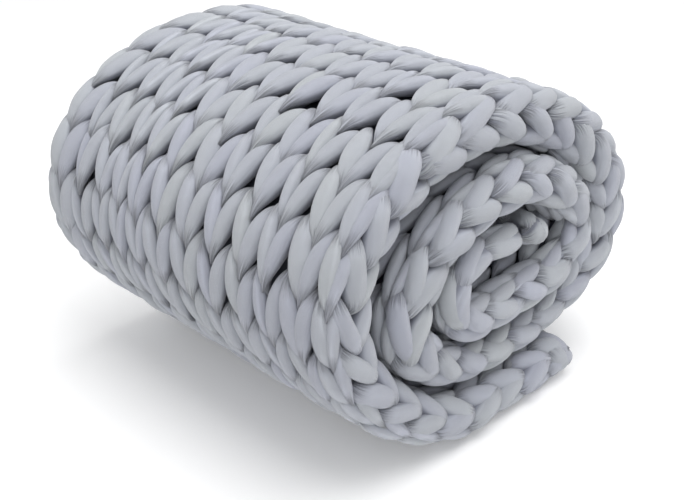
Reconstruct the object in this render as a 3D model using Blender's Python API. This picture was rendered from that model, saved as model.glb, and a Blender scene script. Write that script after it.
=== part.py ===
"""A chunky knitted weighted blanket, folded in half along its length and rolled up.

The cloth is knitted from a tube of jersey about 25 mm thick. Folded in half it is a band 40 to 80 mm thick,
wound two and a half times, with its free end lying flat under the roll. X runs across the roll, Y along
it and Z up. The origin is under the roll's middle, on the surface that it stands on.
"""

import math

import bpy
import numpy as np

# Driving dimensions, in metres
ROLL_LENGTH = 0.528
FREE_END_X = 0.141  # how far the free end reaches
INNER_END_X, INNER_END_Z = 0.078, 0.233  # where the inner end lies, inside the roll
TIP = 0.026  # length over which the free end and the inner end are rounded off
END_BULGE = 0.030  # how far the plait along the cloth's folded edge stands out

# The knitting
COLUMNS = 11  # columns of stitches along the roll, between the plaits at its two ends
ROW = 0.0535  # one row of stitches, along the middle of the band
FIRST_ROW_AT = 0.0353  # from the free end
LEG_END_DEPTH = 0.004  # how far a stitch's leg dips where it slips under the next one
FURROW_DEPTH = 0.008  # between one leg and the next
HOLE_DEPTH = 0.014  # in the small holes between the stitches

# The flat spot underneath is hollow by less than half a millimetre, so that the roll stands on four corners and
# does not rock. Both ends are distances from the free end, just inside the corners.
HOLLOW = 0.0004
HOLLOW_FROM = 0.036
HOLLOW_TO = 0.168
HOLLOW_RIM = 0.002

# The winding, from the free end inwards. Each row is where the middle of the band is lowest, furthest left,
# highest or furthest right, how thick the band is there, how far it has slid along the roll, and how full the
# curve to the next row is (0.55 is a quarter of an ellipse, less is flatter).
WINDING_COLUMNS = ("side", "x", "z", "thick", "slide", "full")
WINDING = (
    ("bottom", -0.038, 0.029, 0.058, -0.014, 0.45),
    ("left", -0.245, 0.229, 0.076, 0.006, 0.57),
    ("top", 0.003, 0.384, 0.073, 0.014, 0.42),
    ("right", 0.244, 0.212, 0.078, 0.002, 0.62),
    ("bottom", -0.006, 0.089, 0.052, 0.004, 0.44),
    ("left", -0.152, 0.190, 0.067, -0.003, 0.48),
    ("top", -0.008, 0.305, 0.062, -0.005, 0.42),
    ("right", 0.160, 0.216, 0.052, -0.006, 0.54),
    ("bottom", -0.028, 0.159, 0.060, -0.010, 0.54),
    ("left", -0.086, 0.201, 0.040, -0.008, 0.54),
    ("top", -0.028, 0.241, 0.038, -0.004, 0.54),
)
LONGEST_CORNER = 1.5  # a curve between two rows is at most this much longer one way than the other
STEPS_PER_ARC = 60

# Where the stitches show on the outside of the roll, as shares of the band's length
STITCHES_FROM = 0.104
STITCHES_TO = 0.562

SAMPLES_PER_COLUMN = 4
STATIONS_PER_ROW = 2

BLUE_GREY = (0.450, 0.470, 0.515, 1.0)


def clear_scene():
    for thing in list(bpy.data.objects):
        bpy.data.objects.remove(thing, do_unlink=True)


def jersey_material():
    material = bpy.data.materials.new("blue_grey_jersey")
    material.use_nodes = True
    shader = material.node_tree.nodes["Principled BSDF"]
    shader.inputs["Base Color"].default_value = BLUE_GREY
    shader.inputs["Roughness"].default_value = 0.9
    shader.inputs["Metallic"].default_value = 0.0
    return material


def curve(start, end, path):
    """Dense points x, z, thick, slide along a path from one row of the winding towards another."""
    share = np.linspace(0.0, 1.0, STEPS_PER_ARC, endpoint=False)[:, None]
    ease = share * share * (3.0 - 2.0 * share)
    others = [start[key] + (end[key] - start[key]) * ease for key in ("thick", "slide")]
    return np.hstack([path(share), *others])


def end_run(start, end):
    """From a free end to a row of the winding, or the other way round. It is level at the winding's row."""
    a = np.array([start["x"], start["z"]])
    b = np.array([end["x"], end["z"]])
    handle = np.array([0.5 * (a[0] + b[0]), a[1]])
    return curve(start, end, lambda t: a * (1 - t) ** 2 + 2 * handle * t * (1 - t) + b * t**2)


def quarter_turn(start, end):
    """From one row of the winding to the next, level at top and bottom and upright at the sides.

    The longer leg of the turn starts or ends with a straight stretch, so that no corner is sharp.
    """
    a = np.array([start["x"], start["z"]])
    b = np.array([end["x"], end["z"]])
    leg = b - a
    first = np.array([1.0, 0.0]) if start["side"] in ("bottom", "top") else np.array([0.0, 1.0])
    size = np.abs(leg)
    spare = np.sign(leg) * np.maximum(size - LONGEST_CORNER * size[::-1], 0.0)
    corner_a = a + first * spare
    corner_b = b - (1.0 - first) * spare
    handle_a = corner_a + start["full"] * first * (corner_b - corner_a)
    handle_b = corner_b - start["full"] * (1.0 - first) * (corner_b - corner_a)

    def path(t):
        near_start = corner_a * (1 - t) ** 3 + 3 * handle_a * t * (1 - t) ** 2
        return near_start + 3 * handle_b * t**2 * (1 - t) + corner_b * t**3

    return curve(start, end, path)


class Band:
    """The middle line of the wound band, read by the distance along it from the free end."""

    def __init__(self):
        rows = [dict(zip(WINDING_COLUMNS, row)) for row in WINDING]
        free_end = dict(rows[0], x=FREE_END_X)
        inner_end = dict(rows[-1], x=INNER_END_X, z=INNER_END_Z)
        parts = [end_run(free_end, rows[0])]
        parts += [quarter_turn(a, b) for a, b in zip(rows, rows[1:])]
        parts += [end_run(rows[-1], inner_end)]
        self.points = np.vstack(parts)
        steps = np.hypot(*np.diff(self.points[:, :2], axis=0).T)
        self.along = np.concatenate([[0.0], np.cumsum(steps)])
        self.length = float(self.along[-1])

    def read(self, s):
        return [float(np.interp(s, self.along, self.points[:, i])) for i in range(4)]

    def outward(self, s):
        """Unit vector, in X and Z, from the middle of the band to the roll's outside."""
        step = 0.002
        ahead = self.read(min(s + step, self.length))
        behind = self.read(max(s - step, 0.0))
        dx, dz = ahead[0] - behind[0], ahead[1] - behind[1]
        size = math.hypot(dx, dz)
        return -dz / size, dx / size

    def place(self, s, across, y):
        """A point across of the way from the band's middle (0) to its outer face (1) or inner face (-1)."""
        x, z, thick, slide = self.read(s)
        from_tip = min(s, self.length - s, TIP) / TIP
        half = 0.5 * thick * math.sqrt(1.0 - 0.8 * (1.0 - from_tip) ** 2)
        nx, nz = self.outward(s)
        return (x + nx * half * across, y + slide, z + nz * half * across), (nx, nz)


def relief(sample, station):
    """How deep the knitting lies at a point of the stitch grid. Legs run slanting, so high and low alternate."""
    on_leg_line = sample % 2 == 1
    mid_row = station % STATIONS_PER_ROW == 0
    if on_leg_line:
        return 0.0 if mid_row else FURROW_DEPTH
    return HOLE_DEPTH if mid_row else LEG_END_DEPTH


def hollow(s, share):
    """How far the underside is lifted, at a share of the way from the near end to the far one."""
    if not HOLLOW_FROM - HOLLOW_RIM < s < HOLLOW_TO + HOLLOW_RIM:
        return 0.0
    at_corner = share in (0.0, 1.0) and not HOLLOW_FROM < s < HOLLOW_TO
    return 0.0 if at_corner else HOLLOW


def outer_chain(band, s, station, stitched):
    """Points along the outer face from the near end to the far one, each with its share of the way."""
    half = 0.5 * ROLL_LENGTH - END_BULGE
    count = COLUMNS * SAMPLES_PER_COLUMN if stitched else 2
    chain = []
    for i in range(count + 1):
        share = i / count
        point, (nx, nz) = band.place(s, 1.0, half * (2.0 * share - 1.0))
        sunk = relief(i, station) if stitched else hollow(s, share)
        chain.append((share, (point[0] - nx * sunk, point[1], point[2] - nz * sunk)))
    return chain


def inner_chain(band, s):
    """The same along the inner face, from the far end back to the near one."""
    half = 0.5 * ROLL_LENGTH - END_BULGE
    return [(i / 2, band.place(s, -1.0, half * (1.0 - i))[0]) for i in range(3)]


def plait_points(band, s, station, end):
    """The plait round the folded edge at one end of the roll (-1 near, 1 far), from the outer face inwards."""
    half = 0.5 * ROLL_LENGTH - END_BULGE
    chain = []
    for i in range(1, SAMPLES_PER_COLUMN):
        turn = math.pi * i / SAMPLES_PER_COLUMN
        bulge = (END_BULGE - relief(i, station)) * math.sin(turn)
        point, _ = band.place(s, math.cos(turn), end * (half + bulge))
        chain.append((i / SAMPLES_PER_COLUMN, point))
    return chain


def station_loop(band, s, station, stitched):
    """The band's cross-section at one station: four chains, each starting where the one before it ends."""
    outer = outer_chain(band, s, station, stitched)
    inner = inner_chain(band, s)
    far = [(0.0, outer[-1][1]), *plait_points(band, s, station, 1), (1.0, inner[0][1])]
    near = [(0.0, inner[-1][1])]
    near += [(1.0 - share, point) for share, point in reversed(plait_points(band, s, station, -1))]
    near += [(1.0, outer[0][1])]
    return [outer, far, inner, near]


class Shell:
    """Collects the solid's points and triangles."""

    def __init__(self):
        self.points = []
        self.index = {}
        self.faces = []

    def add(self, point):
        key = tuple(round(value, 7) for value in point)
        if key not in self.index:
            self.index[key] = len(self.points)
            self.points.append(key)
        return self.index[key]

    def strip(self, first, second):
        """Triangles between two chains that may have different numbers of points.

        Where both have a point at the same place, the triangles' shared side follows the stitch's leg.
        """
        a = [(share, self.add(point)) for share, point in first]
        b = [(share, self.add(point)) for share, point in second]
        i = j = 0
        while i < len(a) - 1 or j < len(b) - 1:
            next_a = a[i + 1][0] if i < len(a) - 1 else math.inf
            next_b = b[j + 1][0] if j < len(b) - 1 else math.inf
            level = abs(next_a - next_b) < 1e-9
            leans_up = i % SAMPLES_PER_COLUMN < SAMPLES_PER_COLUMN // 2
            if (level and leans_up) or next_b < next_a - 1e-9:
                self.faces.append((a[i][1], b[j][1], b[j + 1][1]))
                j += 1
            else:
                self.faces.append((a[i][1], b[j][1], a[i + 1][1]))
                i += 1

    def cap(self, chains, flip):
        """Closes the band's end with triangles between its outer and its inner side."""
        loop = [self.add(point) for chain in chains for _, point in chain[:-1]]
        middle = self.add(tuple(np.mean([self.points[i] for i in loop], axis=0)))
        for here, there in zip(loop, loop[1:] + loop[:1]):
            self.faces.append((middle, there, here) if flip else (middle, here, there))


def stations(band):
    """Distance along the band, number in the stitch grid and whether stitches show, for every cross-section."""
    step = ROW / STATIONS_PER_ROW
    count = int((band.length - FIRST_ROW_AT - TIP) / step)
    marks = [(0.0, 1, False), (0.4 * TIP, 1, False)]
    for k in range(count + 1):
        s = FIRST_ROW_AT + k * step
        shows = STITCHES_FROM < s / band.length < STITCHES_TO
        marks.append((s, k, shows))
    marks += [(band.length - 0.4 * TIP, 1, False), (band.length, 1, False)]
    return marks


def rolled_blanket():
    band = Band()
    shell = Shell()
    loops = [station_loop(band, *mark) for mark in stations(band)]
    for here, there in zip(loops, loops[1:]):
        for chain, next_chain in zip(here, there):
            shell.strip(chain, next_chain)
    shell.cap(loops[0], flip=False)
    shell.cap(loops[-1], flip=True)
    mesh = bpy.data.meshes.new("rolled_blanket")
    mesh.from_pydata(shell.points, [], shell.faces)
    mesh.validate()
    mesh.shade_smooth()
    blanket = bpy.data.objects.new("rolled_blanket", mesh)
    blanket.data.materials.append(jersey_material())
    bpy.context.scene.collection.objects.link(blanket)
    return blanket


def main():
    clear_scene()
    rolled_blanket()


main()
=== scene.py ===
# %% [markdown]
# # A chunky knitted blanket, rolled up
#
# The blanket is knitted by hand from a stuffed tube of jersey, as thick as a broom handle. It is
# folded in half along its length and rolled up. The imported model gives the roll's outside shape.
# Here every leg of every stitch becomes a padded piece of tube that follows the same winding.

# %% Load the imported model
import math

import bpy
import numpy as np
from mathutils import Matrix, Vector


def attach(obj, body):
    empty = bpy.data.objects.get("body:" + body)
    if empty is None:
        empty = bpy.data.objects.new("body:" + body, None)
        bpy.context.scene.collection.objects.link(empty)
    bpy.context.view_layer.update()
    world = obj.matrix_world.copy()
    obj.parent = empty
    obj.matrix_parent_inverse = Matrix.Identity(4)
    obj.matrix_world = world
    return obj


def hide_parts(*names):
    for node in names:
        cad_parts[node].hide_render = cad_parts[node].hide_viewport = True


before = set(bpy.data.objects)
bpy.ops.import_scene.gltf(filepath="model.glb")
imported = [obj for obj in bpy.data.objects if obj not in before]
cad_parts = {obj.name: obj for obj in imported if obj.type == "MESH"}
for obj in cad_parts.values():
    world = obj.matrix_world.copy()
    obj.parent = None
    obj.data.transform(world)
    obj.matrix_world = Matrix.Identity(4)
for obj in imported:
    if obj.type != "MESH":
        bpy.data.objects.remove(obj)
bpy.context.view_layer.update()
dice = np.random.default_rng(7)

# %% [markdown]
# ## The camera
#
# The view is from the front left and above, on a short telephoto lens, so that the near end of the
# roll looks larger than the far end. A camera looks down its own -Z axis, and to_track_quat turns
# it to look along a vector.

# %% Camera
CAMERA_AT = Vector((-0.9025, -0.8815, 0.8015))
LOOKS_ALONG = Vector((0.633, 0.620, -0.465))
LENS_MM = 56.1

camera_data = bpy.data.cameras.new("view_from_the_front_left")
camera_data.lens = LENS_MM
camera_data.sensor_width = 36.0
camera = bpy.data.objects.new("view_from_the_front_left", camera_data)
camera.location = CAMERA_AT
camera.rotation_euler = LOOKS_ALONG.to_track_quat("-Z", "Y").to_euler()
bpy.context.scene.collection.objects.link(camera)
bpy.context.scene.camera = camera
print("camera at", tuple(camera.location))

# %% [markdown]
# ## The winding
#
# Seen from its end, the roll is a flat spiral that sags under its own weight. A few rows of a table
# say where the middle of the cloth is lowest, furthest left, highest and furthest right in each
# turn. Between two rows runs one Bezier curve. Everything later is placed by the distance along
# this line, so the knitting follows any change.

# %% The winding's table
ROLL_LENGTH = 0.528
FREE_END_X = 0.141
INNER_END_X, INNER_END_Z = 0.078, 0.233  # where the inner end lies, inside the roll
TIP = 0.026
END_BULGE = 0.030
COLUMNS = 11
ROW = 0.0535

WINDING_COLUMNS = ("side", "x", "z", "thick", "slide", "full")
WINDING = (
    ("bottom", -0.038, 0.029, 0.058, -0.014, 0.45),
    ("left", -0.245, 0.229, 0.076, 0.006, 0.57),
    ("top", 0.003, 0.384, 0.073, 0.014, 0.42),
    ("right", 0.244, 0.212, 0.078, 0.002, 0.62),
    ("bottom", -0.006, 0.089, 0.052, 0.004, 0.44),
    ("left", -0.152, 0.190, 0.067, -0.003, 0.48),
    ("top", -0.008, 0.305, 0.062, -0.005, 0.42),
    ("right", 0.160, 0.216, 0.052, -0.006, 0.54),
    ("bottom", -0.028, 0.159, 0.060, -0.010, 0.54),
    ("left", -0.086, 0.201, 0.040, -0.008, 0.54),
    ("top", -0.028, 0.241, 0.038, -0.004, 0.54),
)
LONGEST_CORNER = 1.5
STEPS_PER_ARC = 60


def curve(start, end, path):
    """Dense points x, z, thick, slide along a path from one row of the winding towards another."""
    share = np.linspace(0.0, 1.0, STEPS_PER_ARC, endpoint=False)[:, None]
    ease = share * share * (3.0 - 2.0 * share)
    others = [start[key] + (end[key] - start[key]) * ease for key in ("thick", "slide")]
    return np.hstack([path(share), *others])


def end_run(start, end):
    """From a free end to a row of the winding, or the other way round. It is level at the winding's row."""
    a = np.array([start["x"], start["z"]])
    b = np.array([end["x"], end["z"]])
    handle = np.array([0.5 * (a[0] + b[0]), a[1]])
    return curve(start, end, lambda t: a * (1 - t) ** 2 + 2 * handle * t * (1 - t) + b * t**2)


def quarter_turn(start, end):
    """From one row of the winding to the next, level at top and bottom and upright at the sides."""
    a = np.array([start["x"], start["z"]])
    b = np.array([end["x"], end["z"]])
    leg = b - a
    first = np.array([1.0, 0.0]) if start["side"] in ("bottom", "top") else np.array([0.0, 1.0])
    size = np.abs(leg)
    spare = np.sign(leg) * np.maximum(size - LONGEST_CORNER * size[::-1], 0.0)
    corner_a = a + first * spare
    corner_b = b - (1.0 - first) * spare
    handle_a = corner_a + start["full"] * first * (corner_b - corner_a)
    handle_b = corner_b - start["full"] * (1.0 - first) * (corner_b - corner_a)

    def path(t):
        near_start = corner_a * (1 - t) ** 3 + 3 * handle_a * t * (1 - t) ** 2
        return near_start + 3 * handle_b * t**2 * (1 - t) + corner_b * t**3

    return curve(start, end, path)


rows = [dict(zip(WINDING_COLUMNS, row)) for row in WINDING]
winding_parts = [end_run(dict(rows[0], x=FREE_END_X), rows[0])]
winding_parts += [quarter_turn(a, b) for a, b in zip(rows, rows[1:])]
winding_parts += [end_run(rows[-1], dict(rows[-1], x=INNER_END_X, z=INNER_END_Z))]
winding = np.vstack(winding_parts)
winding_along = np.concatenate([[0.0], np.cumsum(np.hypot(*np.diff(winding[:, :2], axis=0).T))])
winding_length = float(winding_along[-1])
print("cloth along the winding:", round(winding_length, 3), "m")

# %% [markdown]
# ## A place on the cloth
#
# A point on the cloth is given by two numbers: s, the distance along the winding, and a lane, which
# counts columns of stitches round the cloth's cross-section. Lanes 0 to 11 are the outer face from
# the near end to the far end, 11 to 13 go round the cloth's fold at the far end, 13 to 24 are the
# inner face, and 24 to 26, which are also -2 to 0, go round the fold at the near end. One function
# turns both numbers, and a depth under the surface, into a point in space.

# %% From lane and distance to a point
FACE_LANES = float(COLUMNS)
PLAIT_LANES = 2.0
ALL_LANES = 2 * (FACE_LANES + PLAIT_LANES)
HALF_FACE = 0.5 * ROLL_LENGTH - END_BULGE
LANE = 2 * HALF_FACE / COLUMNS
NEARBY = 0.002  # metres along the winding, to tell which way it runs
TIP_PINCH = 0.8  # how much the cloth thins towards its two ends


def read_winding(s):
    """x, z, thick and slide of the winding at each distance s."""
    return [np.interp(s, winding_along, winding[:, i]) for i in range(4)]


def cross_section(lane):
    """Shares of half the face along the roll and of half the thickness, and how far round the bulge."""
    lane = np.mod(lane, ALL_LANES)
    far_turn = np.clip((lane - FACE_LANES) / PLAIT_LANES, 0.0, 1.0) * math.pi
    near_turn = np.clip((lane - ALL_LANES + PLAIT_LANES) / PLAIT_LANES, 0.0, 1.0) * math.pi
    on_inner = (lane > FACE_LANES + 0.5 * PLAIT_LANES) & (near_turn <= 0.0)
    inner_share = np.clip((lane - FACE_LANES - PLAIT_LANES) / FACE_LANES, 0.0, 1.0)
    outer_share = np.clip(lane / FACE_LANES, 0.0, 1.0)
    face = np.where(on_inner, 1.0 - 2.0 * inner_share, 2.0 * outer_share - 1.0)
    face = np.where(near_turn > 0.0, -1.0, face)
    turn = np.where(near_turn > 0.0, math.pi - near_turn, far_turn)
    end = np.where(near_turn > 0.0, -1.0, 1.0)
    return face, np.cos(turn), end * np.sin(turn)


def place(s, lane, depth=0.0):
    """Points on the cloth, and the directions that point out of it."""
    x, z, thick, slide = read_winding(s)
    ahead, behind = read_winding(s + NEARBY), read_winding(s - NEARBY)
    dx, dz = ahead[0] - behind[0], ahead[1] - behind[1]
    size = np.hypot(dx, dz)
    out_x, out_z = -dz / size, dx / size
    from_tip = np.clip(np.minimum(s, winding_length - s) / TIP, 0.0, 1.0)
    half = 0.5 * thick * np.sqrt(1.0 - TIP_PINCH * (1.0 - from_tip) ** 2)
    face, across, bulge = cross_section(lane)
    lean_out, lean_end = across * END_BULGE, bulge * half
    lean = np.hypot(lean_out, lean_end)
    lean_out, lean_end = lean_out / lean, lean_end / lean
    normal = np.stack([out_x * lean_out, lean_end, out_z * lean_out], axis=-1)
    y = face * HALF_FACE + bulge * END_BULGE + slide
    surface = np.stack([x + out_x * half * across, y, z + out_z * half * across], axis=-1)
    return surface - normal * np.asarray(depth)[..., None], normal


def lane_width(s, lane):
    """Metres from one lane to the next: a share of the face, or of half an ellipse round the fold."""
    lane = np.mod(lane, ALL_LANES)
    from_far_fold = abs(lane - FACE_LANES - 0.5 * PLAIT_LANES)
    in_fold = (lane > ALL_LANES - PLAIT_LANES) | (from_far_fold < 0.5 * PLAIT_LANES)
    half = 0.5 * read_winding(s)[2]
    round_fold = math.pi * np.sqrt(0.5 * (half**2 + END_BULGE**2)) / PLAIT_LANES
    return np.where(in_fold, round_fold, LANE)


print("one column is", round(LANE * 1000, 1), "mm wide, one row", ROW * 1000, "mm long")

# %% [markdown]
# ## The two legs of a stitch
#
# In plain knitting each stitch shows as two legs that lean together like a roof. In stuffed tube
# each leg is a willow leaf: fat in the middle, pinched to a tip where it slips under its
# neighbours. The two are not mirror images, because the tube comes from one side: the leg on the
# near side leans more and its top tip lies free, and the leg on the far side stands straighter,
# comes out from deep under the stitch above, and its lower tip lies over the neighbour. The plaits
# round the folds have a third kind, an arm that slants across the fold and stays fat to near its
# ends. Three short tables draw them. Across is 0 on the stitch's middle line and 1 on the border of
# the next column, along is in rows, depth is how far the leg's top lies under the surface in
# metres, and wide is its share of the full width.

# %% The legs' tables
LEG_COLUMNS = ("across", "along", "depth", "wide")
NEAR_SIDE_LEG = (
    (1.10, -0.86, 0.0170, 0.16),
    (1.01, -0.68, 0.0080, 0.40),
    (0.87, -0.44, 0.0025, 0.74),
    (0.71, -0.16, 0.0000, 1.00),
    (0.55, 0.12, 0.0000, 0.96),
    (0.41, 0.36, 0.0015, 0.72),
    (0.28, 0.55, 0.0050, 0.42),
    (0.18, 0.67, 0.0120, 0.14),
)
FAR_SIDE_LEG = (
    (0.80, -0.80, 0.0060, 0.10),
    (0.70, -0.60, 0.0020, 0.42),
    (0.60, -0.35, 0.0000, 0.76),
    (0.51, -0.08, 0.0000, 0.98),
    (0.42, 0.18, 0.0010, 0.98),
    (0.33, 0.39, 0.0040, 0.78),
    (0.25, 0.55, 0.0100, 0.52),
    (0.19, 0.67, 0.0190, 0.22),
)
PLAIT_ARM = (
    (1.14, -0.66, 0.0120, 0.46),
    (1.02, -0.52, 0.0040, 0.80),
    (0.82, -0.31, 0.0000, 0.97),
    (0.54, -0.08, -0.0015, 1.00),
    (0.24, 0.14, -0.0015, 1.00),
    (-0.04, 0.35, 0.0000, 0.95),
    (-0.26, 0.51, 0.0040, 0.76),
    (-0.40, 0.62, 0.0110, 0.42),
)
FULLNESS = 0.96  # a leg's width as a share of the room between its column's middle line and border
LEG_HALF_HEIGHT = 0.0110
ARM_HALF_WIDTH = 0.0127  # of the plaits' arms, whatever the room


def smooth_through(values, count):
    """A Catmull-Rom curve through evenly numbered values, read at count places."""
    values = np.asarray(values, float)
    before, after = 2 * values[:1] - values[1:2], 2 * values[-1:] - values[-2:-1]
    padded = np.concatenate([before, values, after])
    at = np.linspace(0.0, len(values) - 1.0, count)
    i = np.minimum(at.astype(int), len(values) - 2)
    t = at - i
    p0, p1, p2, p3 = (padded[i + k] for k in range(4))
    square = 2 * p0 - 5 * p1 + 4 * p2 - p3
    cube = 3 * p1 - p0 - 3 * p2 + p3
    return 0.5 * (2 * p1 + (p2 - p0) * t + square * t**2 + cube * t**3)


def leg_shape(table, count):
    """The table's columns as smooth curves with count points."""
    return {name: smooth_through([row[i] for row in table], count) for i, name in enumerate(LEG_COLUMNS)}


# %% [markdown]
# ## Sweeping padded tube
#
# All legs of one piece are made at once as arrays: a middle line, an up direction and two half
# sizes for each point of each leg. A ring of points round each place on the line gives the tube.
# Filling the mesh through foreach_set is much quicker than adding faces one by one. Each point
# keeps four numbers that the cloth's finish reads later: side and rise, which are the cosine and
# sine of how far round the tube it lies, its share of the way along, and its leg's own tint.

# %% The sweep
FLOOR_GAP = 0.0004
SQUARENESS = 0.82  # 1 is a plain ellipse, and less is flatter on top


def unit(vectors):
    return vectors / np.maximum(np.linalg.norm(vectors, axis=-1, keepdims=True), 1e-9)


def squared(values):
    """Pushes a sine or cosine outwards, for a tube that is flatter on top and fuller at its sides."""
    return np.sign(values) * np.abs(values) ** SQUARENESS


def tube_mesh(name, middle, up, half_width, half_height, around, tint):
    """One mesh of many tubes. Arrays are (tubes, points along), with x, y, z last for vectors."""
    tubes, along = middle.shape[:2]
    forward = unit(np.gradient(middle, axis=1))
    side = unit(np.cross(forward, up))
    up = np.cross(side, forward)
    angle = 2 * math.pi * np.arange(around) / around
    ring = side[:, :, None] * squared(np.cos(angle))[:, None] * half_width[:, :, None, None]
    ring = ring + up[:, :, None] * squared(np.sin(angle))[:, None] * half_height[:, :, None, None]
    points = middle[:, :, None] + ring
    points[..., 2] = np.maximum(points[..., 2], FLOOR_GAP)

    number = np.arange(tubes * along * around).reshape(tubes, along, around)
    turned = np.roll(number, -1, axis=2)
    sides = np.stack([number[:, :-1], turned[:, :-1], turned[:, 1:], number[:, 1:]], axis=-1).reshape(-1, 4)
    caps = np.concatenate([number[:, 0, ::-1], number[:, -1]])
    corners = np.concatenate([sides.ravel(), caps.ravel()])
    starts = np.concatenate([np.arange(len(sides)) * 4, sides.size + np.arange(len(caps)) * around])

    mesh = bpy.data.meshes.new(name)
    mesh.vertices.add(points.size // 3)
    mesh.vertices.foreach_set("co", points.astype(np.float32).ravel())
    mesh.loops.add(len(corners))
    mesh.loops.foreach_set("vertex_index", corners.astype(np.int32))
    mesh.polygons.add(len(starts))
    mesh.polygons.foreach_set("loop_start", starts.astype(np.int32))
    mesh.polygons.foreach_set("use_smooth", np.ones(len(starts), bool))
    mesh.update(calc_edges=True)

    share = np.linspace(0, 1, along)[None, :, None]
    marks = np.broadcast_arrays(np.cos(angle), np.sin(angle), share, tint[:, None, None])
    round_tube = np.stack(marks, axis=-1)
    for i, label in enumerate(("side", "rise", "along", "tint")):
        layer = mesh.attributes.new(label, "FLOAT", "POINT")
        layer.data.foreach_set("value", np.ascontiguousarray(round_tube[..., i], np.float32).ravel())
    blanket_piece = bpy.data.objects.new(name, mesh)
    bpy.context.scene.collection.objects.link(blanket_piece)
    return blanket_piece


# %% [markdown]
# ## Knitting a stretch of cloth
#
# Hand knitting is never even. The columns across the outside have their own widths, which a table
# gives. The rows slant a little across the roll, and they lie further apart where the cloth is
# stretched over the top. On top of that, each leg is a little longer, fatter or further over than
# the next. Those numbers come from a seeded generator, and so they are the same on each run.

# %% Columns, rows and the knitting of legs
# Near border, middle line and far border of each column of stitches, in lanes
OUTER_COLUMNS = (
    (-1.05, -0.60, -0.25),
    (-0.25, 0.13, 0.68),
    (0.68, 1.38, 1.89),
    (1.89, 2.29, 2.84),
    (2.84, 3.38, 3.93),
    (3.93, 4.40, 5.00),
    (5.00, 5.61, 6.16),
    (6.16, 6.73, 7.15),
    (7.15, 7.62, 7.98),
    (7.98, 8.44, 8.86),
    (8.86, 9.32, 9.85),
    (9.85, 10.18, 10.95),
    (10.95, 11.50, 12.05),
)
# The same on the inner face, from the far fold to the near one, where the columns are even
INNER_FROM, INNER_TO = 13.10, 23.90
inner_borders = np.linspace(INNER_FROM, INNER_TO, COLUMNS + 1)
INNER_COLUMNS = [(12.05, 12.62, INNER_FROM)]
INNER_COLUMNS += [(a, 0.5 * (a + b), b) for a, b in zip(inner_borders, inner_borders[1:])]
INNER_COLUMNS += [(INNER_TO, 24.38, 24.95)]
FIRST_ROW_AT = 0.0353
ROW_COUNT = int((winding_length - FIRST_ROW_AT - TIP) / ROW)
ROW_SHIFT = ((12.0, -0.42), (15.0, -0.05))
SLANT = 0.35
SLANT_FROM_ROW = 11.0
SLANT_OVER_ROWS = 5.0
THINNEST = 0.3  # a leg's height never goes below this share, however narrow it gets

# How uneven hand knitting is, as spreads of a normal distribution
UNEVEN_ACROSS = 0.06  # of a leg's room, for its place and for its lean
UNEVEN_LENGTH = 0.05
UNEVEN_ALONG = 0.045  # of a row
UNEVEN_SIZE = 0.07
UNEVEN_DEPTH = 0.0012


def row_at(number):
    number = np.asarray(number, float)
    shift = np.interp(number, [row for row, _ in ROW_SHIFT], [size for _, size in ROW_SHIFT])
    return FIRST_ROW_AT + (number + shift) * ROW


def knit(name, rows_of, columns, half_height, around, along, legs=(NEAR_SIDE_LEG, FAR_SIDE_LEG)):
    """The two legs of each stitch, by row and column. Where rows lie far apart, legs reach further."""
    near_side, far_side = (leg_shape(table, along) for table in legs)
    row, column, hand = (
        grid.ravel() for grid in np.meshgrid(rows_of, np.arange(len(columns)), (-1.0, 1.0), indexing="ij")
    )
    near_border, middle_line, far_border = np.array(columns)[column.astype(int)].T
    room = np.where(hand < 0, middle_line - near_border, far_border - middle_line)
    count = len(row)
    shape = {key: np.where(hand[:, None] < 0, near_side[key], far_side[key]) for key in LEG_COLUMNS}

    def vary(size):
        return dice.normal(0.0, size, count)[:, None]

    slant = SLANT * np.tanh((row - SLANT_FROM_ROW) / SLANT_OVER_ROWS)
    across = shape["across"] + vary(UNEVEN_ACROSS) + vary(UNEVEN_ACROSS) * shape["along"]
    lane = (middle_line + slant)[:, None] + (hand * room)[:, None] * across
    reach = ((row_at(row + 0.5) - row_at(row - 0.5)) / ROW)[:, None]
    along_leg = shape["along"] * reach * (1.0 + vary(UNEVEN_LENGTH))
    s = row_at(row)[:, None] + ROW * (along_leg + vary(UNEVEN_ALONG))
    size = 1.0 + vary(UNEVEN_SIZE)
    half_width = 0.5 * FULLNESS * room[:, None] * lane_width(s, (middle_line + 0.5 * hand * room)[:, None])
    is_arm = np.where(hand < 0, legs[0] is PLAIT_ARM, legs[1] is PLAIT_ARM)[:, None]
    half_width = np.where(is_arm, ARM_HALF_WIDTH, half_width)
    wide = half_width * reach * size * shape["wide"]
    tall = half_height * size * np.maximum(shape["wide"], THINNEST)
    depth = tall + shape["depth"] + vary(UNEVEN_DEPTH)
    middle, up = place(np.clip(s, 0.0, winding_length), lane, depth)
    return tube_mesh(name, middle, up, wide, tall, around, dice.normal(0.0, 1.0, count))


pieces = []
FIRST_INNER_ROW = 28
OUTER_ROWS = np.arange(1, FIRST_INNER_ROW)
OUTER_TUBE = (14, 20)  # points round and along each leg
STRETCHES = (("near", OUTER_COLUMNS[1:4]), ("middle", OUTER_COLUMNS[4:8]), ("far", OUTER_COLUMNS[8:-1]))
for label, chosen in STRETCHES:
    pieces.append(knit(f"outer_stitches_{label}", OUTER_ROWS, chosen, LEG_HALF_HEIGHT, *OUTER_TUBE))
print("outer legs:", len(OUTER_ROWS) * (len(OUTER_COLUMNS) - 2) * 2)

# %% [markdown]
# ## The plaits round the ends
#
# At each end of the roll the cloth is folded over. One arm of tube slants across each side of the
# fold, and the two make a plait of V shapes that follows the whole spiral. Each plait is knitted as
# two pieces, one that joins the outer face and one that joins the inner face, and the other leg of
# their stitches is a plain one.

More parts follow.
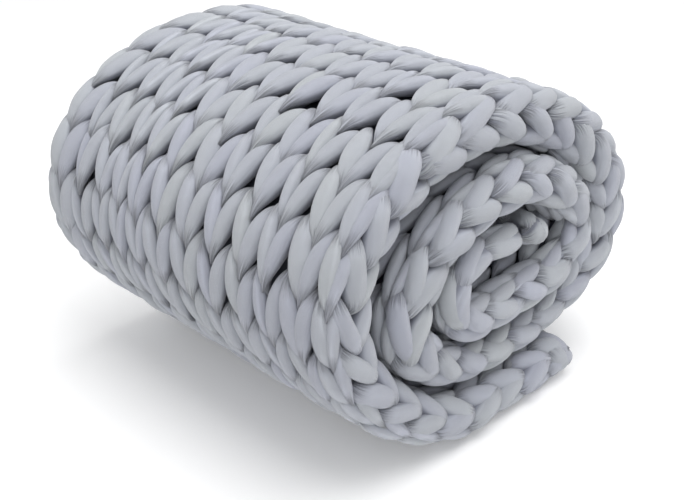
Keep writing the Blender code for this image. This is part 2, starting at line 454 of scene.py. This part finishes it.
# %% Plaits
ALL_ROWS = np.arange(0, ROW_COUNT + 1)
PLAIT_HALF_HEIGHT = 0.0145
PLAIT_TUBE = (16, 22)
PLAITS = (
    ("plait_near_outer", OUTER_COLUMNS[0], (PLAIT_ARM, FAR_SIDE_LEG)),
    ("plait_near_inner", INNER_COLUMNS[-1], (NEAR_SIDE_LEG, PLAIT_ARM)),
    ("plait_far_outer", OUTER_COLUMNS[-1], (NEAR_SIDE_LEG, PLAIT_ARM)),
    ("plait_far_inner", INNER_COLUMNS[0], (PLAIT_ARM, FAR_SIDE_LEG)),
)
for name, column, legs in PLAITS:
    pieces.append(knit(name, ALL_ROWS, (column,), PLAIT_HALF_HEIGHT, *PLAIT_TUBE, legs))

# %% [markdown]
# ## The turns inside
#
# Only the first columns of the inner turns can be seen, between the plaits. They get coarser tubes.

# %% Stitches inside the roll
INNER_ROWS = np.arange(FIRST_INNER_ROW, ROW_COUNT + 1)
INNER_HALF_HEIGHT = 0.0105
INNER_TUBE = (10, 12)
TURNS_INSIDE = (("outer", INNER_ROWS, OUTER_COLUMNS), ("inner", ALL_ROWS, INNER_COLUMNS))
for face, rows_of, columns in TURNS_INSIDE:
    ends = columns[1:3] + columns[-3:-1]
    pieces.append(knit(f"turns_inside_{face}_face", rows_of, ends, INNER_HALF_HEIGHT, *INNER_TUBE))

# %% [markdown]
# ## The bound-off edges
#
# The last row of knitting is bound off: each stitch is pulled over the next, which leaves a chain
# of fat links along the cloth's edge. It shows at the free end on the floor and at the end inside
# the roll. The links lie across the knitting, so here a leg runs from lane to lane.

# %% Chains along both edges
LINK_COLUMNS = ("lane", "inset", "depth", "wide")
LINK = (
    (-0.75, 0.031, 0.0080, 0.55),
    (-0.45, 0.024, 0.0010, 0.92),
    (-0.10, 0.017, -0.0020, 1.06),
    (0.25, 0.012, -0.0020, 1.08),
    (0.60, 0.009, -0.0010, 1.00),
    (0.95, 0.009, 0.0040, 0.66),
)
LINK_HALF_WIDTH = 0.0150
LINK_HALF_HEIGHT = 0.0140
LINK_TUBE = (14, 16)
LINK_THINNEST = 0.4
LINK_UNEVEN = 0.06
LINK_UNEVEN_INSET = 0.0012


def edge_chain(name, inset_to_s):
    """A link for each lane. inset_to_s turns a distance from the cloth's edge into one on the winding."""
    points_round, points_along = LINK_TUBE
    lane, inset, dip, wide = (
        smooth_through([row[LINK_COLUMNS.index(key)] for row in LINK], points_along)[None, :]
        for key in LINK_COLUMNS
    )
    starts = np.arange(0.0, ALL_LANES, 1.0)[:, None]
    size = 1.0 + dice.normal(0.0, LINK_UNEVEN, starts.shape)
    half_width = LINK_HALF_WIDTH * size * wide
    half_height = LINK_HALF_HEIGHT * size * np.maximum(wide, LINK_THINNEST)
    s = inset_to_s(inset + dice.normal(0.0, LINK_UNEVEN_INSET, starts.shape))
    lanes = starts + lane + dice.normal(0.0, LINK_UNEVEN, starts.shape)
    middle, up = place(s, lanes, half_height + dip)
    tint = dice.normal(0.0, 1.0, len(starts))
    return tube_mesh(name, middle, up, half_width, half_height, points_round, tint)


pieces.append(edge_chain("bound_off_free_end", lambda inset: inset))
pieces.append(edge_chain("bound_off_inner_end", lambda inset: winding_length - inset))

# %% [markdown]
# ## The cloth behind the stitches
#
# Deep in the holes the back of the knitting closes the view. One plain band in the middle of the
# cloth does that, and its colour is painted shade. Half-way along the roll it swells until it meets
# the turns beside it, as the slack cloth does, so that nobody can look through the roll from end to end.

# %% Backing band
BACKING_DEPTH = 0.40  # as a share of the cloth's thickness
SWELL_FROM, SWELL_FULL = 2.0, 3.5  # lanes from the fold
WIDEST_GAP = 0.05
SAME_TURN = 0.12  # metres along the winding that still belong to the same turn
BACKING_STEP = 0.012
BACKING_INSET = 0.004


def gap_beside(here, s_here, there, s_there, one_turn_on):
    """Distance from each point to the nearest one that lies a turn further out (-1) or in (1)."""
    apart = np.linalg.norm(here[:, None, :] - there[None, :, :], axis=2)
    same_turn = (s_there[None, :] - s_here[:, None]) * one_turn_on < SAME_TURN
    gap = np.where(same_turn, 1.0, apart).min(axis=1)
    return np.where(gap > WIDEST_GAP, 0.0, gap)


def backing_band():
    stations = np.arange(BACKING_INSET, winding_length - BACKING_INSET, BACKING_STEP)
    face = np.arange(0.0, FACE_LANES)
    turn = np.arange(0.0, PLAIT_LANES, 0.5)
    inner_from = FACE_LANES + PLAIT_LANES
    lanes = np.concatenate([face, turn + FACE_LANES, face + inner_from, turn + ALL_LANES - PLAIT_LANES])
    middle_of_face = 0.5 * FACE_LANES
    outside, _ = place(stations, np.full(len(stations), middle_of_face))
    inside, _ = place(stations, np.full(len(stations), middle_of_face + inner_from))
    swell_out = 0.5 * gap_beside(outside, stations, inside, stations, -1)
    swell_in = 0.5 * gap_beside(inside, stations, outside, stations, 1)
    on_face = np.mod(lanes, inner_from)
    from_fold = np.minimum(on_face, FACE_LANES - on_face)
    swelling = np.clip((from_fold - SWELL_FROM) / (SWELL_FULL - SWELL_FROM), 0.0, 1.0)[None, :]
    swell = np.where(lanes < inner_from, swell_out[:, None], swell_in[:, None])
    sunk = BACKING_DEPTH * read_winding(stations)[2][:, None]
    depth = np.where(swell > 0.0, sunk + (-swell - sunk) * swelling, sunk)
    points, _ = place(stations[:, None], lanes[None, :], depth)
    points[..., 2] = np.maximum(points[..., 2], FLOOR_GAP)
    number = np.arange(points.size // 3).reshape(points.shape[:2])
    turned = np.roll(number, -1, axis=1)
    faces = np.stack([number[:-1], turned[:-1], turned[1:], number[1:]], axis=-1).reshape(-1, 4)
    mesh = bpy.data.meshes.new("backing")
    faces = faces.tolist() + [number[0, ::-1].tolist(), number[-1].tolist()]
    mesh.from_pydata(points.reshape(-1, 3).tolist(), [], faces)
    mesh.shade_smooth()
    backing = bpy.data.objects.new("backing", mesh)
    bpy.context.scene.collection.objects.link(backing)
    most = float(max(swell_out.max(), swell_in.max()))
    print("backing swells by up to", round(most * 1000, 1), "mm")
    return backing


pieces.append(backing_band())

# %% [markdown]
# ## Shader maths
#
# A finish is a tree of nodes. Wire wraps a node's output, so that plain arithmetic on it adds the
# Math nodes, and Finish adds any other node. What a leg of the knitting looks like can then be
# written as a few lines of sums.

# %% Wire and Finish
def fill(socket, value):
    """Links a socket to a Wire, or sets its value."""
    if isinstance(value, Wire):
        value.finish.tree.links.new(value.socket, socket)
    else:
        socket.default_value = value


class Wire:
    """A node's output socket. Arithmetic on it adds a Math node and gives that node's output."""

    def __init__(self, finish, socket):
        self.finish, self.socket = finish, socket

    def maths(self, operation, first, second):
        return self.finish.node("ShaderNodeMath", {"operation": operation}, {0: first, 1: second})

    def __add__(self, other):
        return self.maths("ADD", self, other)

    def __radd__(self, other):
        return self.maths("ADD", other, self)

    def __sub__(self, other):
        return self.maths("SUBTRACT", self, other)

    def __rsub__(self, other):
        return self.maths("SUBTRACT", other, self)

    def __mul__(self, other):
        return self.maths("MULTIPLY", self, other)

    def __rmul__(self, other):
        return self.maths("MULTIPLY", other, self)


class Finish:
    """A material and its shader. Constants are set on the shader's own sockets."""

    def __init__(self, name, **constants):
        self.material = bpy.data.materials.new(name)
        self.material.use_nodes = True
        self.tree = self.material.node_tree
        self.shader = self.tree.nodes["Principled BSDF"]
        for socket, value in constants.items():
            self.shader.inputs[socket.replace("_", " ")].default_value = value

    def node(self, kind, settings, sockets, output=0):
        """A node of a kind. Its settings go first, then the values or links of its sockets."""
        added = self.tree.nodes.new(kind)
        for setting, value in settings.items():
            if setting == "stops":
                for stop, (place_at, color) in zip(added.color_ramp.elements, value):
                    stop.position, stop.color = place_at, color
            else:
                setattr(added, setting, value)
        for socket, value in sockets.items():
            fill(added.inputs[socket], value)
        return Wire(self, added.outputs[output])

    def mix(self, share, first, second):
        """Two colours mixed."""
        return self.node("ShaderNodeMix", {"data_type": "RGBA"}, {0: share, 6: first, 7: second}, output=2)

    def feed(self, socket, wire):
        fill(self.shader.inputs[socket], wire)


# %% [markdown]
# ## The jersey
#
# The tube is cut from matt cotton jersey, so its finish has no gloss, only a little sheen from
# loose fibres. Five things show at this scale. No two legs have the same grey, because the tube was
# cut from several lengths: some lean to violet and some to green. Where a leg is pinched under its
# neighbour, the cloth gathers into pleats that run along the tube, and painted shade darkens them.
# Along the tube's sides, where two legs press together, painted shade darkens the colour too. The
# filling leaves soft dents. And close up, the jersey has its own fine ribs. The pleats, the painted
# shade and the ribs follow the tube, so they read side, rise and along, and the dents read the place
# on the roll.

# %% Jersey
VIOLET_GREY = (0.432, 0.450, 0.522, 1.0)
GREEN_GREY = (0.460, 0.484, 0.514, 1.0)
# Painted shade: the colour that the pleats and the seams along the tube's sides are darkened towards
FOLD_SHADE = (0.190, 0.200, 0.245, 1.0)
PLEATS_ROUND = 6.5
PLEATS_ALONG = 1.6
RIBS = 26.0
DENT_SCALE = 46.0  # dents in each metre
PLEAT_STOPS = ((0.42, (0, 0, 0, 1)), (0.56, (1, 1, 1, 1)))
PINCHED_FROM, PINCHED_TO = 0.34, 0.82  # as shares of the way from a leg's middle to its ends
PAINTED_SEAM_FROM, PAINTED_SEAM_TO = 0.46, -0.10  # in rise: painted shade from the tube's shoulder to just below its side
# How far painted shade darkens the pleats and the seams between legs
PLEAT_SHADE, SEAM_SHADE = 0.80, 0.92
PLEAT_HEIGHT, DENT_HEIGHT, RIB_HEIGHT = 0.0030, 0.0030, 0.00012


def jersey_finish():
    finish = Finish("blue_grey_jersey", Roughness=0.92, Sheen_Weight=0.35, Sheen_Roughness=0.45)

    def mark(name):
        return finish.node("ShaderNodeAttribute", {"attribute_name": name}, {}, output="Fac")

    side, rise, along, tint = mark("side"), mark("rise"), mark("along"), mark("tint")

    def round_tube(turns, length):
        """A place in a texture that follows the tube, with a different start for each leg."""
        sockets = {0: side * turns, 1: rise * turns + tint * 17.0, 2: along * length + tint * 31.0}
        return finish.node("ShaderNodeCombineXYZ", {}, sockets)

    sockets = {"Vector": round_tube(PLEATS_ROUND, PLEATS_ALONG), "Scale": 1.0, "Detail": 2.0}
    pleats = finish.node("ShaderNodeTexNoise", {}, sockets)
    pleats = finish.node("ShaderNodeValToRGB", {"stops": PLEAT_STOPS}, {"Fac": pleats})
    from_middle = finish.node("ShaderNodeMath", {"operation": "ABSOLUTE"}, {0: along - 0.5}) * 2.0

    def smooth_step(wire, start, end):
        settings = {"interpolation_type": "SMOOTHSTEP"}
        return finish.node("ShaderNodeMapRange", settings, {0: wire, 1: start, 2: end, 3: 0.0, 4: 1.0})

    pinched = smooth_step(from_middle, PINCHED_FROM, PINCHED_TO)
    # Painted shade in the pleats near a leg's pinched ends
    pleat_painted_shade = (1.0 - pleats) * pinched
    # Painted shade along the tube's sides, where two legs press together
    seam_painted_shade = smooth_step(rise, PAINTED_SEAM_FROM, PAINTED_SEAM_TO)

    where = finish.node("ShaderNodeTexCoord", {}, {}, output="Object")
    dents = finish.node("ShaderNodeTexNoise", {}, {"Vector": where, "Scale": DENT_SCALE, "Detail": 1.0})
    sockets = {"Vector": round_tube(1.0, 0.25), "Scale": RIBS, "Distortion": 1.2}
    ribs = finish.node("ShaderNodeTexWave", {"bands_direction": "X"}, sockets)
    height = pleats * pinched * PLEAT_HEIGHT + dents * DENT_HEIGHT + ribs * RIB_HEIGHT
    bump = finish.node("ShaderNodeBump", {}, {"Height": height, "Strength": 0.9, "Distance": 1.0})
    finish.feed("Normal", bump)

    leaning = tint + dents * 1.5 - 0.75
    leaning = finish.node("ShaderNodeMapRange", {}, {0: leaning, 1: -1.8, 2: 1.8, 3: 0.0, 4: 1.0})
    grey = finish.mix(leaning, VIOLET_GREY, GREEN_GREY)
    # The grey is darkened towards FOLD_SHADE by the stronger of the two painted shades
    shade = {0: pleat_painted_shade * PLEAT_SHADE, 1: seam_painted_shade * SEAM_SHADE}
    shaded = finish.mix(finish.node("ShaderNodeMath", {"operation": "MAXIMUM"}, shade), grey, FOLD_SHADE)
    finish.feed("Base Color", shaded)
    finish.feed("Roughness", 0.86 + ribs * 0.08)
    return finish.material


jersey = jersey_finish()

# %% [markdown]
# ## The back of the knitting
#
# What can be seen through the holes lies in deep shade. The band behind them is the same cloth
# with that shade painted into its colour, in soft blotches of deeper and lighter painted shade, so
# that no hole looks cut out of black paper.

# %% Back of the knitting
# Painted shade: the band's two colours stand in for the shade deep in the holes
DEEP_SHADE = (0.060, 0.067, 0.090, 1.0)
HALF_SHADE = (0.150, 0.160, 0.200, 1.0)


def back_finish():
    finish = Finish("back_of_the_knitting_in_painted_shade", Roughness=0.95, Sheen_Weight=0.1)
    where = finish.node("ShaderNodeTexCoord", {}, {}, output="Object")
    blotches = finish.node("ShaderNodeTexNoise", {}, {"Vector": where, "Scale": 30.0, "Detail": 2.0})
    shade = finish.mix(blotches, DEEP_SHADE, HALF_SHADE)
    finish.feed("Base Color", shade)
    finish.feed("Normal", finish.node("ShaderNodeBump", {}, {"Height": blotches * 0.004, "Distance": 1.0}))
    return finish.material


shaded_back = back_finish()
for piece in pieces:
    piece.data.materials.append(shaded_back if piece.name == "backing" else jersey)
print("finishes:", jersey.name, len(jersey.node_tree.nodes), "nodes,", shaded_back.name)

# %% [markdown]
# ## Floor and light
#
# A white floor that the light burns out, a large soft light almost straight above, and a bright
# surround that fills the shadows, so that only a soft one stays beside the roll. The floor also
# glows a little, which keeps that shadow pale. None of this belongs to the blanket.

# %% Floor
floor_mesh = bpy.data.meshes.new("floor")
FLOOR_HALF = 6.0
FLOOR_GLOW = 0.13
floor_corners = [(x * FLOOR_HALF, y * FLOOR_HALF, 0.0) for x, y in ((-1, -1), (1, -1), (1, 1), (-1, 1))]
floor_mesh.from_pydata(floor_corners, [], [(0, 1, 2, 3)])
floor = bpy.data.objects.new("floor", floor_mesh)
bpy.context.scene.collection.objects.link(floor)
WHITE = (1.0, 1.0, 1.0, 1.0)
FLOOR_WHITE = (0.93, 0.93, 0.93, 1.0)
glow = {"Emission_Color": WHITE, "Emission_Strength": FLOOR_GLOW}
white_floor = Finish("white_floor", Base_Color=FLOOR_WHITE, Roughness=0.9, **glow)
floor_mesh.materials.append(white_floor.material)

# %% Light
bpy.context.scene.view_settings.view_transform = "Standard"


def soft_light(name, at, size, power):
    light = bpy.data.lights.new(name, "AREA")
    light.size = size
    light.energy = power
    lamp = bpy.data.objects.new(name, light)
    lamp.location = at
    lamp.rotation_euler = (Vector((0.0, 0.0, 0.2)) - Vector(at)).to_track_quat("-Z", "Y").to_euler()
    bpy.context.scene.collection.objects.link(lamp)
    return lamp


LIGHT_AT, LIGHT_SIZE, LIGHT_WATTS = (0.10, -0.40, 2.6), 2.4, 60.0
SURROUND_STRENGTH = 0.66
soft_light("large_soft_light", LIGHT_AT, LIGHT_SIZE, LIGHT_WATTS)
world = bpy.data.worlds.new("white_surround")
world.use_nodes = True
surround = world.node_tree.nodes["Background"].inputs
surround["Color"].default_value = WHITE
surround["Strength"].default_value = SURROUND_STRENGTH
bpy.context.scene.world = world
print("floor", FLOOR_HALF * 2, "m across, light", LIGHT_SIZE, "m across at", LIGHT_AT)

# %% [markdown]
# ## Joining the frame
#
# Every piece rides on the roll's one body, and the plain solid is hidden. Each piece's triangles
# are counted.

# %% Ride, replace and measure
for piece in pieces:
    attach(piece, "root")
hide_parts("rolled_blanket")
for piece in pieces:
    piece.data.calc_loop_triangles()
    print(piece.name, len(piece.data.loop_triangles), "triangles")
